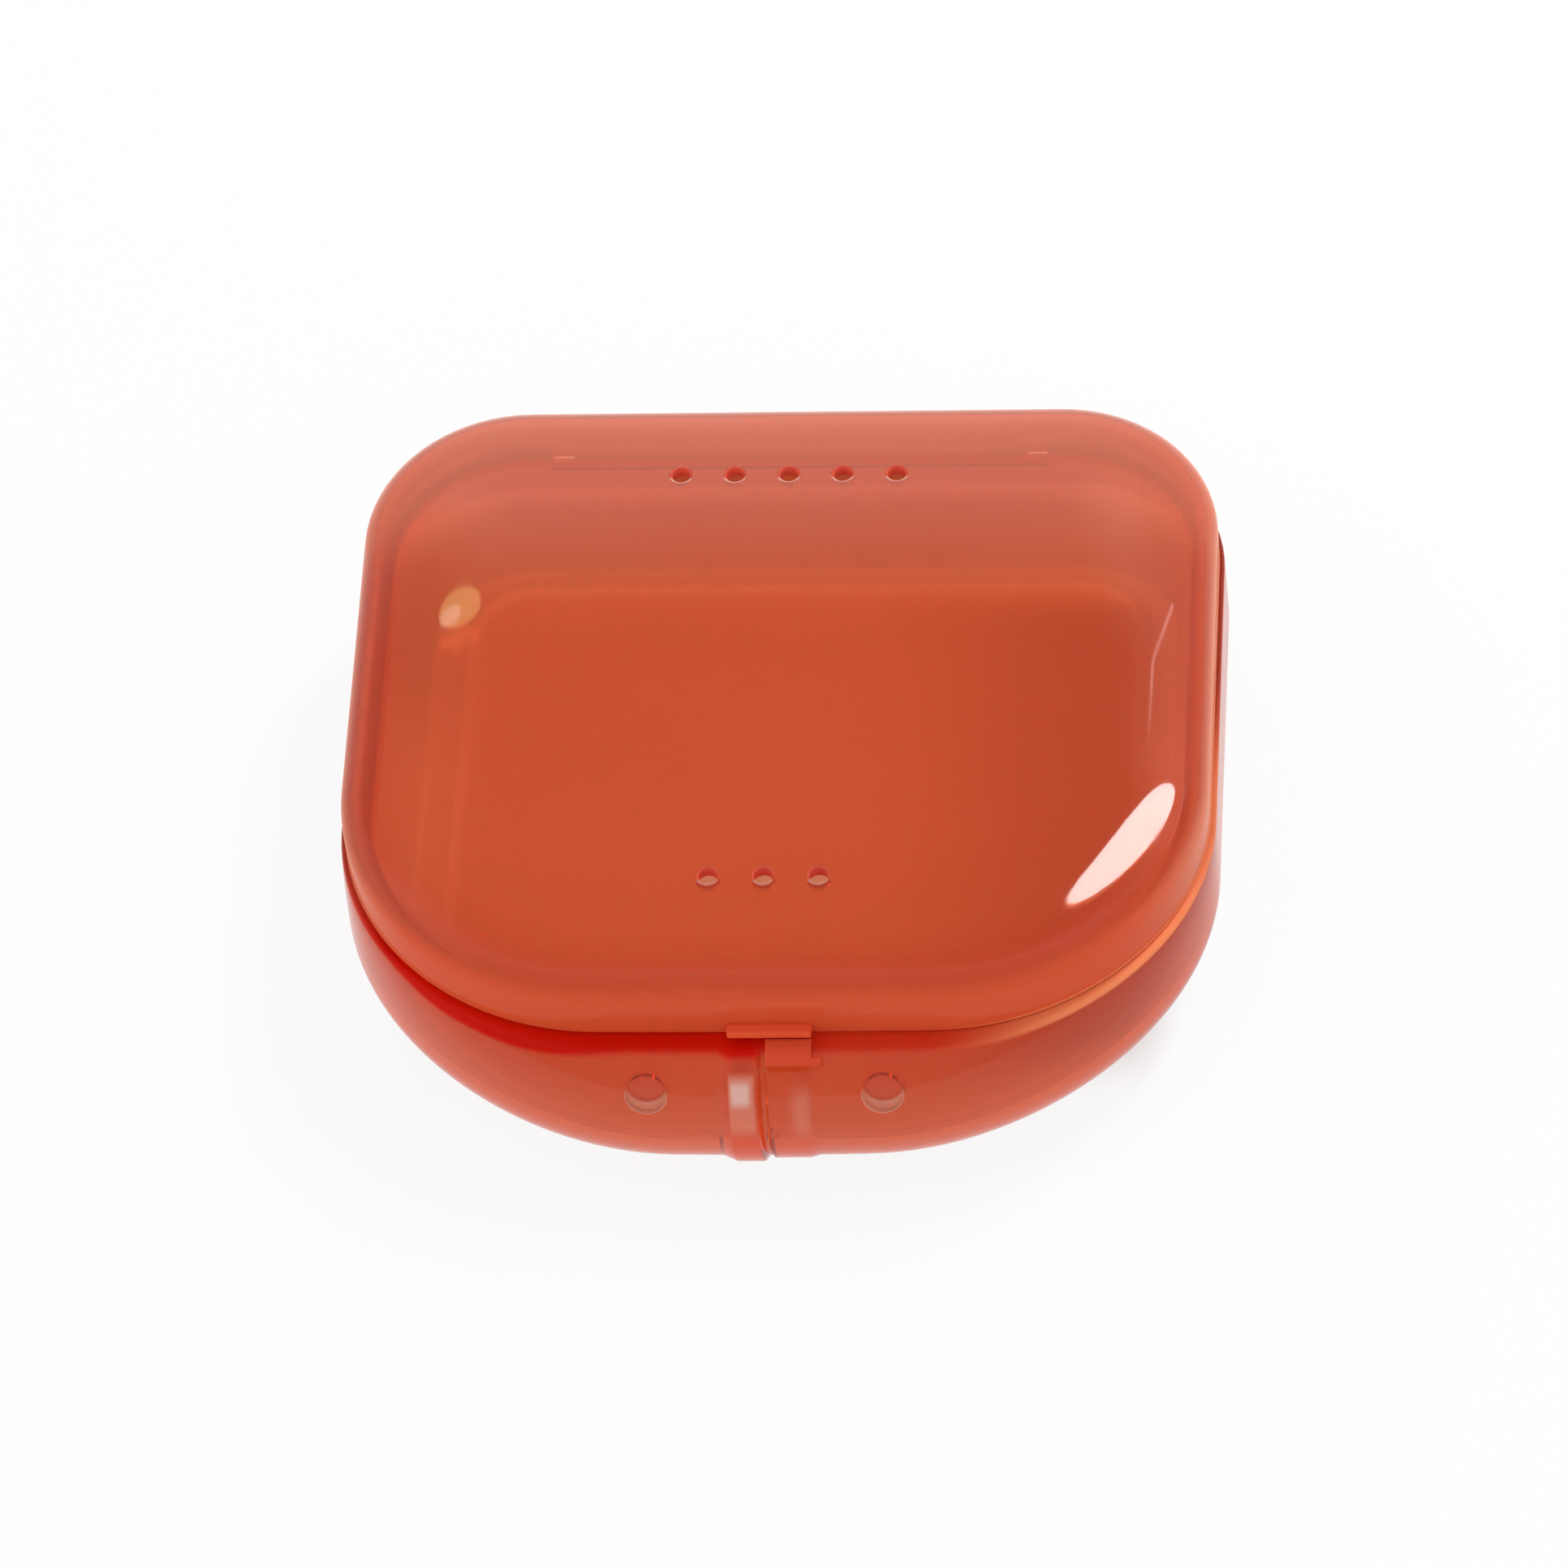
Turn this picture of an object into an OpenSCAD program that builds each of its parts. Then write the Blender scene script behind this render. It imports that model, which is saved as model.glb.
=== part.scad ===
// Retainer case: a bowl-shaped base and a crowned lid on two hinge pegs, with a latch tab at the front.
// Millimetres. Z is up, the hinge is at the back (+Y), and the origin is under the middle of the lid.

/* [Lid] */
// Width of the lid across its rim
lid_width = 80; // [74:0.5:92]
// Depth of the lid from its back wall to the middle of its front rim
lid_depth = 70; // [66:0.5:80]
// How far the lid's front rim bows out in the middle
lid_bow = 0.6; // [0:0.1:1.2]
// Radius of the lid's two front corners, seen from above
lid_front_radius = 24.5; // [20:0.5:28]
// Thickness of the lid's wall and top
lid_wall = 1.5; // [1:0.1:1.9]
// Height of the lid's upright wall, from its rim to its rounded edge
lid_upright = 4; // [3.4:0.1:7]
// Radius of the lid's rounded edge
lid_edge_radius = 3; // [2.4:0.1:4]
// Slope of the lid's top where it leaves the rounded edge, in degrees
crown_slope = 20; // [10:1:26]
// Width of the sloping band between the rounded edge and the flat middle
crown_run = 12; // [8:0.5:14]

/* [Base] */
// Height of the base's rim above the table
rim_height = 16.6; // [15.6:0.1:22]
// Thickness of the base's wall and floor
base_wall = 1.6; // [1.2:0.1:2]
// Radius of the two rear corners, seen from above
rear_radius = 15; // [12:0.5:20]
// How far the base's rim stands out past the lid at the sides and front
rim_proud = 0.4; // [0.2:0.1:0.8]
// Thickness of the base's rim flange
rim_flange = 2; // [1.4:0.1:3]
// Height of the belly, the fullest part of the base
belly_height = 9; // [7:0.1:10]
// How far the belly stands out past the lid at the sides
belly_side = 0.5; // [0.4:0.1:1]
// How far the belly stands out past the lid at the front corners
belly_front = 4.5; // [2.5:0.1:5]
// How far the belly's front bows out in the middle
belly_bow = 1.7; // [0:0.1:2.4]
// Width of the belly's front corner, seen from above
belly_corner_width = 31.5; // [26:0.5:34]
// Depth of the belly's front corner, seen from above
belly_corner_depth = 28; // [24:0.5:32]
// How far the flat floor stands in from the belly at the sides
floor_side = 9.4; // [6:0.1:11]
// How far the flat floor stands in from the belly at the back
floor_back = 5.5; // [3:0.1:7]
// How far the flat floor stands in from the belly at the front
floor_front = 6.2; // [4:0.1:8]
// Radius of the flat floor's rear corners
floor_radius = 5; // [3:0.5:9]
// Turn of the wall from the belly down to the floor's edge, in degrees
bowl_sweep = 65; // [50:1:90]

/* [Lip] */
// Height of the lip that stands up inside the lid
lip_height = 1.5; // [1:0.1:2.4]
// Thickness of that lip
lip_wall = 0.9; // [0.7:0.1:1.3]

/* [Hinge] */
// Radius of the lid's hinge barrel and of the base's ears
barrel_radius = 1.2; // [1.1:0.05:1.5]
// Length of the lid's hinge barrel
barrel_length = 43; // [32:0.5:44]
// Width of the gap between the barrel's end and the ear, where the peg shows
peg_window = 2; // [1:0.1:2.4]
// Length of each ear along the hinge
ear_length = 2.5; // [2:0.1:3]
// Radius of the hinge pegs
peg_radius = 0.65; // [0.5:0.05:0.75]
// How far a peg reaches into the barrel
peg_seat = 3.5; // [2.5:0.1:6]

/* [Latch] */
// Width of the lid's ledge above the latch
ledge_width = 7.7; // [7:0.1:10]
// Thickness of that ledge
ledge_height = 0.8; // [0.6:0.1:1.4]
// How far that ledge stands out of the lid's front
ledge_depth = 1.1; // [0.8:0.1:1.6]
// Width of the latch tab, and of the pad under it
tab_width = 4.2; // [3:0.1:5]
// Thickness of the latch tab
tab_wall = 0.7; // [0.5:0.1:0.9]
// How far the tab reaches down from the base's rim
tab_drop = 0.9; // [0.7:0.1:1.4]
// Width of the nib beside the tab's lower end
nib_width = 0.9; // [0.6:0.1:1.2]
// Height of that nib
nib_height = 0.4; // [0.3:0.1:0.6]
// Width of the base's rib beside the tab
rib_width = 4.2; // [4:0.1:5]
// Width of that rib's front face
rib_face = 2.5; // [1.5:0.1:2.8]
// Width of the slope from that face down to the rib's outer side
rib_slope = 1.3; // [0.5:0.1:1.6]
// How far the rib stands out of the base
rib_proud = 0.7; // [0.5:0.1:1.6]
// How far the pad stands out of the base
pad_proud = 0.3; // [0.2:0.1:0.7]
// Width of the slope down the pad's outer side
pad_slope = 0.9; // [0.4:0.1:1.2]

/* [Vents] */
// Diameter of the small vents in the lid
vent_diameter = 1.8; // [1.2:0.1:2.4]
// Distance between neighbouring vents
vent_pitch = 5.05; // [4:0.05:6]
// Number of vents in the rear row
rear_vents = 5; // [3:1:7]
// Distance of the rear row from the lid's back wall
rear_vent_inset = 10.7; // [8:0.1:14]
// Number of vents in the front row
front_vents = 3; // [1:1:5]
// Distance of the front row from the middle of the lid's front rim
front_vent_inset = 11.4; // [9:0.1:16]

/* [Recesses] */
// Diameter of the two round recesses in the base's front wall
recess_diameter = 3.8; // [2.5:0.1:4.4]
// Depth of those recesses
recess_depth = 1.1; // [0.5:0.1:1.1]
// Distance between those two recesses
recess_spacing = 21.6; // [18:0.1:26]
// Height of those recesses above the table
recess_height = 13.4; // [11.5:0.1:13.6]
// Upward tilt of those recesses' axes, in degrees
recess_tilt = 24; // [10:1:30]

/* [Fits] */
// Gap between the lid's rim and the base's rim
rim_gap = 0.2; // [0.1:0.05:0.4]
// Gap between the lid's wall and the lip inside it
lip_gap = 0.25; // [0.15:0.05:0.5]
// Gap round the turning hinge parts
hinge_gap = 0.3; // [0.2:0.05:0.4]
// Running gap between a peg and its ear
peg_gap = 0.05; // [0.02:0.01:0.09]
// Gap between a peg and the barrel that holds it
seat_gap = 0.02; // [0.01:0.01:0.03]
// Gap between the latch tab and the base
tab_gap = 0.25; // [0.15:0.05:0.4]
// Gap at the tab's flexing root
root_gap = 0.1; // [0.05:0.05:0.2]

/* [Hidden] */
arc_steps = 12;
front_steps = 5;
edge_steps = 5;
overlap = 0.5;
far = 2 * (lid_width + lid_depth);
bore_facets = 48;
shell_color = [0.80, 0.29, 0.20, 0.75];
tab_color = [0.78, 0.24, 0.14, 0.85];
peg_color = [0.86, 0.45, 0.36, 0.8];

back_y = lid_depth / 2;
front_y = lid_bow - lid_depth / 2;
lid_rim_z = rim_height + rim_gap;
hinge_y = back_y;
hinge_z = rim_height + rim_gap / 2;
ear_start = barrel_length / 2 + peg_window;
ear_end = ear_start + ear_length;
lip_outer = lid_wall + lip_gap;
lip_inner = lip_outer + lip_wall;
tab_bottom = rim_height - tab_drop;
tab_step = sqrt(0.5);
ledge_z = rim_height + tab_step * (tab_gap + tab_wall) + root_gap;
latch_side = root_gap + tab_gap / 2;
edge_sweep = 90 - crown_slope;

// A plan is [half width, back, front, rear radius, front corner width, front corner depth, front bow].
lid_plan = [lid_width / 2, back_y, front_y, rear_radius, lid_front_radius, lid_front_radius, lid_bow];
rim_plan = [lid_width / 2 + rim_proud, back_y, front_y - rim_proud, rear_radius,
            lid_front_radius + rim_proud, lid_front_radius + rim_proud, lid_bow];
belly_plan = [lid_width / 2 + belly_side, back_y, front_y - belly_front, rear_radius,
              belly_corner_width, belly_corner_depth, belly_bow];
floor_plan = [belly_plan[0] - floor_side, belly_plan[1] - floor_back, belly_plan[2] + floor_front,
              floor_radius, belly_corner_width - floor_side, belly_corner_depth - floor_front, belly_bow];

function mix(a, b, t) = a * (1 - t) + b * t;

function inset(p, d) =
    [p[0] - d, p[1] - d, p[2] + d, max(p[3] - d, overlap), p[4] - d, p[5] - d, p[6]];

// Right half of a plan's outline, from the back round to the middle of the front.
function half_outline(p) = concat(
    [for (i = [0:arc_steps])
        let (a = 90 - 90 * i / arc_steps)
        [p[0] - p[3] + p[3] * cos(a), p[1] - p[3] + p[3] * sin(a)]],
    [for (i = [0:arc_steps])
        let (a = 90 * i / arc_steps, x = p[0] - p[4] + p[4] * cos(a))
        [x, p[2] + p[5] - p[5] * sin(a) - p[6] * pow(sin(a), 2) * (1 - pow(x / p[0], 2))]],
    [for (i = [1:front_steps])
        let (x = (p[0] - p[4]) * (1 - i / front_steps))
        [x, p[2] - p[6] * (1 - pow(x / p[0], 2))]]);

function outline(p) =
    let (h = half_outline(p), n = len(h))
    concat(h, [for (i = [n - 2:-1:0]) [-h[i][0], h[i][1]]]);

function ring(z, p) = [for (q = outline(p)) [q[0], q[1], z]];

// A closed skin over rings of equal length, listed from the lowest to the highest.
module skin(rings) {
    n = len(rings[0]);
    m = len(rings);
    sides = [for (j = [0:m - 2], i = [0:n - 1])
        let (a = j * n + i, b = j * n + (i + 1) % n)
        each [[a, b, b + n], [a, b + n, a + n]]];
    bottom = [for (i = [n - 1:-1:0]) i];
    top = [for (i = [0:n - 1]) (m - 1) * n + i];
    polyhedron([for (r = rings) each r], concat(sides, [bottom], [top]));
}

// Shares of the way down and of the way in from the belly to the floor, at a share t of the wall's turn.
function way_down(t) = sin(bowl_sweep * t) / sin(bowl_sweep);
function way_in(t) = (1 - cos(bowl_sweep * t)) / (1 - cos(bowl_sweep));

// Outer levels of the base as [height, plan], from the floor up to the rim.
base_levels = concat(
    [for (i = [edge_steps:-1:1])
        let (t = i / edge_steps)
        [belly_height * (1 - way_down(t)), mix(belly_plan, floor_plan, way_in(t))]],
    [for (i = [0:edge_steps])
        let (a = 90 * i / edge_steps)
        [mix(belly_height, rim_height, sin(a)), mix(belly_plan, rim_plan, 1 - cos(a))]]);

// Inner levels of the base, from the floor's upper face to above the lip.
cavity_levels = concat(
    [for (i = [edge_steps:-1:1])
        let (t = i / edge_steps)
        [mix(belly_height, base_wall, way_down(t)), mix(inset(belly_plan, base_wall), floor_plan, way_in(t))]],
    [for (i = [0:edge_steps])
        let (a = 90 * i / edge_steps)
        [mix(belly_height, rim_height - rim_flange, sin(a)),
         mix(inset(belly_plan, base_wall), inset(lid_plan, lip_inner), 1 - cos(a))]],
    [[rim_height + lip_height + overlap, inset(lid_plan, lip_inner)]]);

lip_levels = [
    [rim_height - overlap, inset(lid_plan, lip_outer)],
    [rim_height + lip_height, inset(lid_plan, lip_outer)]];

// Levels of the lid's surface that lies a depth d inside its outer one.
function lid_levels(d) =
    let (
        edge = lid_edge_radius - d,
        crown = crown_run / sin(crown_slope) - d,
        shoulder_z = lid_rim_z + lid_upright,
        crown_z = shoulder_z + edge * sin(edge_sweep),
        crown_inset = lid_edge_radius - edge * cos(edge_sweep))
    concat(
        [[lid_rim_z - (d > 0 ? overlap : 0), inset(lid_plan, d)]],
        [for (i = [0:edge_steps])
            let (a = edge_sweep * i / edge_steps)
            [shoulder_z + edge * sin(a), inset(lid_plan, lid_edge_radius - edge * cos(a))]],
        [for (i = [1:edge_steps])
            let (a = crown_slope * (1 - i / edge_steps))
            [crown_z + crown * (cos(a) - cos(crown_slope)),
             inset(lid_plan, crown_inset + crown * (sin(crown_slope) - sin(a)))]]);

// Front surface of the base at its middle, at height z between the belly and the rim.
function front_at(z) =
    let (
        rise = min(max((z - belly_height) / (rim_height - belly_height), 0), 1),
        p = mix(belly_plan, rim_plan, 1 - sqrt(1 - pow(rise, 2))))
    p[2] - p[6];

module from_levels(levels) {
    skin([for (l = levels) ring(l[0], l[1])]);
}

module along_hinge(from, to, radius) {
    translate([from, hinge_y, hinge_z])
        rotate([0, 90, 0])
            cylinder(h = to - from, r = radius, $fn = bore_facets);
}

module both_sides() {
    children();
    mirror([1, 0, 0]) children();
}

// A bar down the base's front, proud of its surface, from x0 to x1 with a face from f0 to f1.
module front_bar(x0, x1, f0, f1, proud) {
    skin([for (l = base_levels)
        let (y = l[1][2] - l[1][6], z = l[0])
        [[x0, y + overlap, z], [x1, y + overlap, z], [f1, y - proud, z], [f0, y - proud, z]]]);
}

module latch_rib() {
    outer = -latch_side - rib_width;
    face = outer + rib_slope;
    front_bar(outer, -latch_side, face, face + rib_face, rib_proud);
}

module latch_pad() {
    pad_end = latch_side + tab_width;
    intersection() {
        front_bar(latch_side, pad_end, latch_side, pad_end - pad_slope, pad_proud);
        translate([0, -far / 2, -overlap])
            cube([far, far, tab_bottom - tab_gap + overlap]);
    }
}

module front_recesses() {
    both_sides()
        translate([recess_spacing / 2, front_at(recess_height), recess_height])
            rotate([90 - recess_tilt, 0, 0])
                translate([0, 0, -recess_depth])
                    cylinder(h = recess_depth + 2 * base_wall, d = recess_diameter, $fn = bore_facets);
}

module lip() {
    difference() {
        from_levels(lip_levels);
        translate([-ear_start, 0, rim_height])
            cube([2 * ear_start, far, far]);
    }
}

module base_shell() {
    color(shell_color)
        difference() {
            union() {
                from_levels(base_levels);
                lip();
                latch_rib();
                latch_pad();
                both_sides() along_hinge(ear_start, ear_end, barrel_radius);
            }
            from_levels(cavity_levels);
            along_hinge(-ear_start, ear_start, barrel_radius + hinge_gap);
            both_sides() along_hinge(ear_start - overlap, ear_end + overlap, peg_radius + peg_gap);
            front_recesses();
        }
}

module vent_row(count, y) {
    for (i = [0:count - 1])
        translate([(i - (count - 1) / 2) * vent_pitch, y, lid_rim_z + lid_upright])
            cylinder(h = far, d = vent_diameter, $fn = bore_facets);
}

module latch_ledge() {
    translate([latch_side + tab_width - ledge_width, -lid_depth / 2 - ledge_depth, ledge_z])
        cube([ledge_width, ledge_depth + lid_wall / 2, ledge_height]);
}

module lid_shell() {
    color(shell_color)
        difference() {
            union() {
                difference() {
                    union() {
                        from_levels(lid_levels(0));
                        latch_ledge();
                    }
                    from_levels(lid_levels(lid_wall));
                    both_sides()
                        along_hinge(barrel_length / 2, ear_end + hinge_gap, barrel_radius + hinge_gap);
                }
                along_hinge(-barrel_length / 2, barrel_length / 2, barrel_radius);
            }
            both_sides()
                along_hinge(barrel_length / 2 - peg_seat, barrel_length / 2 + overlap, peg_radius + seat_gap);
            vent_row(rear_vents, back_y - rear_vent_inset);
            vent_row(front_vents, front_vent_inset - lid_depth / 2);
        }
}

module hinge_peg() {
    color(peg_color)
        along_hinge(barrel_length / 2 - peg_seat + seat_gap, ear_end - seat_gap, peg_radius);
}

module hinge_peg_left() {
    mirror([1, 0, 0]) hinge_peg();
}

module hinge_peg_right() {
    hinge_peg();
}

// A flap over the base's front between two heights, shifted out and up by equal steps.
module flap(x0, x1, from, to) {
    near = tab_step * tab_gap;
    away = tab_step * (tab_gap + tab_wall);
    skin([for (i = [0:edge_steps])
        let (z = mix(from, to, i / edge_steps), y = front_at(z))
        [[x0, y - near, z + near], [x1, y - near, z + near],
         [x1, y - away, z + away], [x0, y - away, z + away]]]);
}

module latch_tab() {
    side = latch_side + tab_width;
    color(tab_color) {
        flap(latch_side, side, tab_bottom, rim_height);
        flap(side - overlap, side + nib_width, tab_bottom, tab_bottom + nib_height);
    }
}

base_shell();
lid_shell();
hinge_peg_left();
hinge_peg_right();
latch_tab();
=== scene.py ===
import math

import bmesh
import bpy
from mathutils import Matrix, Vector


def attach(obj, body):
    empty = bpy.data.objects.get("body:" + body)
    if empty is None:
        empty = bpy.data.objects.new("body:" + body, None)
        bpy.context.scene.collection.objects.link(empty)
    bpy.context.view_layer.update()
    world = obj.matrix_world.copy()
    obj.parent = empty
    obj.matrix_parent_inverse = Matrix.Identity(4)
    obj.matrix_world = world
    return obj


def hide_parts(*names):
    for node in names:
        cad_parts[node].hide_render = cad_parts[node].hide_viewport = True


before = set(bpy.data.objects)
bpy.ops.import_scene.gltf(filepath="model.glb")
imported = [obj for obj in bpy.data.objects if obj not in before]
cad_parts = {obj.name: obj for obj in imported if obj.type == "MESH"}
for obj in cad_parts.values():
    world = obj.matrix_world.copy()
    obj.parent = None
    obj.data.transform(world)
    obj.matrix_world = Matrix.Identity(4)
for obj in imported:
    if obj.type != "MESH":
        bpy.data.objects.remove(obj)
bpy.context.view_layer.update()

MM = 0.001

# Sizes in millimetres, as in the part's source.
LID_WIDTH, LID_DEPTH, LID_BOW, LID_FRONT_RADIUS, LID_WALL = 80, 70, 0.6, 24.5, 1.5
LID_UPRIGHT, LID_EDGE, CROWN_SLOPE, CROWN_RUN = 4, 3, 20, 12
RIM_Z, BASE_WALL, REAR_RADIUS, RIM_PROUD, RIM_FLANGE = 16.6, 1.6, 15, 0.4, 2
BELLY_Z, BELLY_SIDE, BELLY_FRONT, BELLY_BOW = 9, 0.5, 4.5, 1.7
BELLY_CORNER = (31.5, 28)
FLOOR_SIDE, FLOOR_BACK, FLOOR_FRONT, FLOOR_RADIUS, BOWL_SWEEP = 9.4, 5.5, 6.2, 5, 65
LIP_HEIGHT, LIP_WALL, LIP_GAP, RIM_GAP = 1.5, 0.9, 0.25, 0.2
BARREL_RADIUS, BARREL_LENGTH, PEG_WINDOW, EAR_LENGTH = 1.2, 43, 2, 2.5
PEG_RADIUS, PEG_SEAT, PEG_GAP, SEAT_GAP, HINGE_GAP = 0.65, 3.5, 0.05, 0.02, 0.3
LEDGE_WIDTH, LEDGE_HEIGHT, LEDGE_DEPTH = 7.7, 0.8, 1.1
TAB_WIDTH, TAB_WALL, TAB_DROP, TAB_GAP, ROOT_GAP = 4.2, 0.7, 0.9, 0.25, 0.1
NIB_WIDTH, NIB_HEIGHT = 0.9, 0.4
RIB_WIDTH, RIB_FACE, RIB_SLOPE, RIB_PROUD = 4.2, 2.5, 1.3, 0.7
PAD_PROUD, PAD_SLOPE = 0.3, 0.9
VENT_DIAMETER, VENT_PITCH, REAR_INSET, FRONT_INSET = 1.8, 5.05, 10.7, 11.4
RECESS_DIAMETER, RECESS_DEPTH, RECESS_SPACING, RECESS_Z, RECESS_TILT = 3.8, 1.1, 21.6, 13.4, 24

BACK = LID_DEPTH / 2
FRONT = LID_BOW - LID_DEPTH / 2
LID_RIM_Z = RIM_Z + RIM_GAP
HINGE_Z = RIM_Z + RIM_GAP / 2
EAR_START = BARREL_LENGTH / 2 + PEG_WINDOW
EAR_END = EAR_START + EAR_LENGTH
LIP_OUTER = LID_WALL + LIP_GAP
LIP_INNER = LIP_OUTER + LIP_WALL
LATCH_SIDE = ROOT_GAP + TAB_GAP / 2
LATCH_END = LATCH_SIDE + TAB_WIDTH
TAB_STEP = math.sqrt(0.5)
LEDGE_Z = RIM_Z + TAB_STEP * (TAB_GAP + TAB_WALL) + ROOT_GAP
PAD_TOP = RIM_Z - TAB_DROP - TAB_GAP

# Roundings and slopes at edges that the part's source leaves sharp, in millimetres.
EDGE = 0.25
BAR_EDGE, PEG_EDGE, LEDGE_EDGE, TAB_EDGE, BREAK_EDGE = 0.12, 0.14, 0.18, 0.12, 0.05
RELIEF_EASE, STEP_EASE, PAD_STEP, PAD_BRINK = 0.07, 0.03, 0.1, 0.08
VENT_FLARE = 0.16

# How far bore tools reach past their ends, the lengths of the recess and vent tools, and how far the nib starts
# inside the tab and above its lower edge, in millimetres.
BORE_PAST, RECESS_TOOL, VENT_TOOL, NIB_ROOT, NIB_LIFT = 0.4, 4, 3.2, 0.4, 0.001

# Steps round the outlines and up the walls. Then the places of single rings: shares of a cap's size, heights
# from the pad's top and from the lid's rim, how far rings keep off the rim's rounding, and the flat by the lip.
FRONT_STEPS, CORNER_STEPS, SIDE_STEPS, REAR_STEPS, BACK_STEPS = 4, 32, 10, 18, 14
WALL_STEPS, RIM_STEPS, EDGE_STEPS, FILLET_STEPS, CROWN_STEPS, TAB_STEPS = 16, 9, 4, 14, 16, 12
CAP_RINGS = (0.97, 0.7, 0.35)
PAD_RINGS = (-0.1, -0.05, 0, 0.05, 0.1)
LID_RINGS = (EDGE, 0.6, 2, 3.6)
RING_GAP, LAND = 0.03, 0.3

# Columns across the middle of the front, close together where the latch's rib and pad turn.
FRONT_COLUMNS = [0, 0.13, 0.225, 0.33, 0.48, 0.625, 0.75, 1.0, 1.6, 2.3, 2.9, 3.05, 3.125, 3.3, 3.45, 3.525,
                 3.7, 4.0, 4.3, 4.425, 4.55, 4.8, 5.3, 6.0]
LATCH_REACH = FRONT_COLUMNS[-1]

# Outlines. A plan is [half width, back, front, rear radius, corner width, corner depth, front bow].
LID_PLAN = [LID_WIDTH / 2, BACK, FRONT, REAR_RADIUS, LID_FRONT_RADIUS, LID_FRONT_RADIUS, LID_BOW]
RIM_PLAN = [LID_WIDTH / 2 + RIM_PROUD, BACK, FRONT - RIM_PROUD, REAR_RADIUS,
            LID_FRONT_RADIUS + RIM_PROUD, LID_FRONT_RADIUS + RIM_PROUD, LID_BOW]
BELLY_PLAN = [LID_WIDTH / 2 + BELLY_SIDE, BACK, FRONT - BELLY_FRONT, REAR_RADIUS, *BELLY_CORNER, BELLY_BOW]
FLOOR_PLAN = [BELLY_PLAN[0] - FLOOR_SIDE, BACK - FLOOR_BACK, BELLY_PLAN[2] + FLOOR_FRONT, FLOOR_RADIUS,
              BELLY_CORNER[0] - FLOOR_SIDE, BELLY_CORNER[1] - FLOOR_FRONT, BELLY_BOW]
SMALLEST_RADIUS = 0.5

# Rows of vents: how many, how far back, and how far below the crown's top the skin is there.
VENT_ROWS = ((5, BACK - REAR_INSET, 0.16), (3, FRONT_INSET - LID_DEPTH / 2, 0.1))


def mix(a, b, t):
    return [p * (1 - t) + q * t for p, q in zip(a, b)]


def inset(p, d):
    return [p[0] - d, p[1] - d, p[2] + d, max(p[3] - d, SMALLEST_RADIUS), p[4] - d, p[5] - d, p[6]]


def steps(n, first=0):
    return [i / n for i in range(first, n + 1)]


def quarter(t):
    """A share of a quarter turn, in radians."""
    return math.radians(90 * t)


def outline(p):
    """Closed outline of a plan, anticlockwise from above, from the middle of the front."""
    half, back, front, rear, wide, deep, bow = p
    bowed = lambda x: bow * (1 - (x / half) ** 2)
    xs = FRONT_COLUMNS + [LATCH_REACH + (half - wide - LATCH_REACH) * t for t in steps(FRONT_STEPS, 1)]
    points = [(x, front - bowed(x)) for x in xs]
    for t in steps(CORNER_STEPS, 1):
        a = quarter(1 - t)
        x = half - wide + wide * math.cos(a)
        points.append((x, front + deep - deep * math.sin(a) - math.sin(a) ** 2 * bowed(x)))
    points += [(half, front + deep + (back - rear - front - deep) * t) for t in steps(SIDE_STEPS, 1)]
    for t in steps(REAR_STEPS, 1):
        a = quarter(t)
        points.append((half - rear + rear * math.cos(a), back - rear + rear * math.sin(a)))
    points += [((half - rear) * (1 - t), back) for t in steps(BACK_STEPS, 1)]
    return points + [(-x, y) for x, y in points[-2:0:-1]]


def heading(turn, rise):
    """Direction at an angle from +X towards +Y and an angle above the floor, in degrees."""
    turn, rise = math.radians(turn), math.radians(rise)
    return Vector((math.cos(turn) * math.cos(rise), math.sin(turn) * math.cos(rise), math.sin(rise)))


def soft_step(t, w):
    """0 below 0 and t above it, with the corner rounded over a width w each side."""
    if t <= -w:
        return 0
    if t >= w:
        return t
    return (t + w) ** 2 / (4 * w)


def ramp(x, start, end, w=RELIEF_EASE):
    """Rises from 0 at start to 1 at end, with rounded corners."""
    run = end - start
    return soft_step((x - start) / run, w / run) - soft_step((x - end) / run, w / run)


def latch_relief(x, z):
    """How far the latch's rib and pad stand out of the base's front."""
    outer = -LATCH_SIDE - RIB_WIDTH
    face = outer + RIB_SLOPE
    rib = ramp(x, outer, face) * (1 - ramp(x, face + RIB_FACE, -LATCH_SIDE))
    side = ramp(x, LATCH_SIDE - PAD_STEP, LATCH_SIDE + PAD_STEP, STEP_EASE)
    pad = side * (1 - ramp(x, LATCH_END - PAD_SLOPE, LATCH_END))
    over = ramp(z, PAD_TOP - PAD_BRINK, PAD_TOP + PAD_BRINK, STEP_EASE)
    return RIB_PROUD * rib + PAD_PROUD * pad * (1 - over)


def bowl_wall(t):
    """Shares of the way down and of the way in from the belly to the floor, at a share t of the wall's turn."""
    a, whole = math.radians(BOWL_SWEEP * t), math.radians(BOWL_SWEEP)
    return math.sin(a) / math.sin(whole), (1 - math.cos(a)) / (1 - math.cos(whole))


def base_plan_at(z):
    """Outer plan of the base at a height between its belly and its rim."""
    rise = min(max((z - BELLY_Z) / (RIM_Z - BELLY_Z), 0), 1)
    return mix(BELLY_PLAN, RIM_PLAN, 1 - math.sqrt(1 - rise ** 2))


def front_at(z):
    p = base_plan_at(z)
    return p[2] - p[6]


# Meshes.
def rows_of(bm, rings):
    return [[bm.verts.new((x * MM, y * MM, z * MM)) for x, y, z in ring] for ring in rings]


def stitch(bm, rows):
    """Faces between rows of equal length, each row closed on itself."""
    n = len(rows[0])
    for low, high in zip(rows, rows[1:]):
        for i in range(n):
            k = (i + 1) % n
            bm.faces.new((low[i], low[k], high[k], high[i]))


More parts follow.
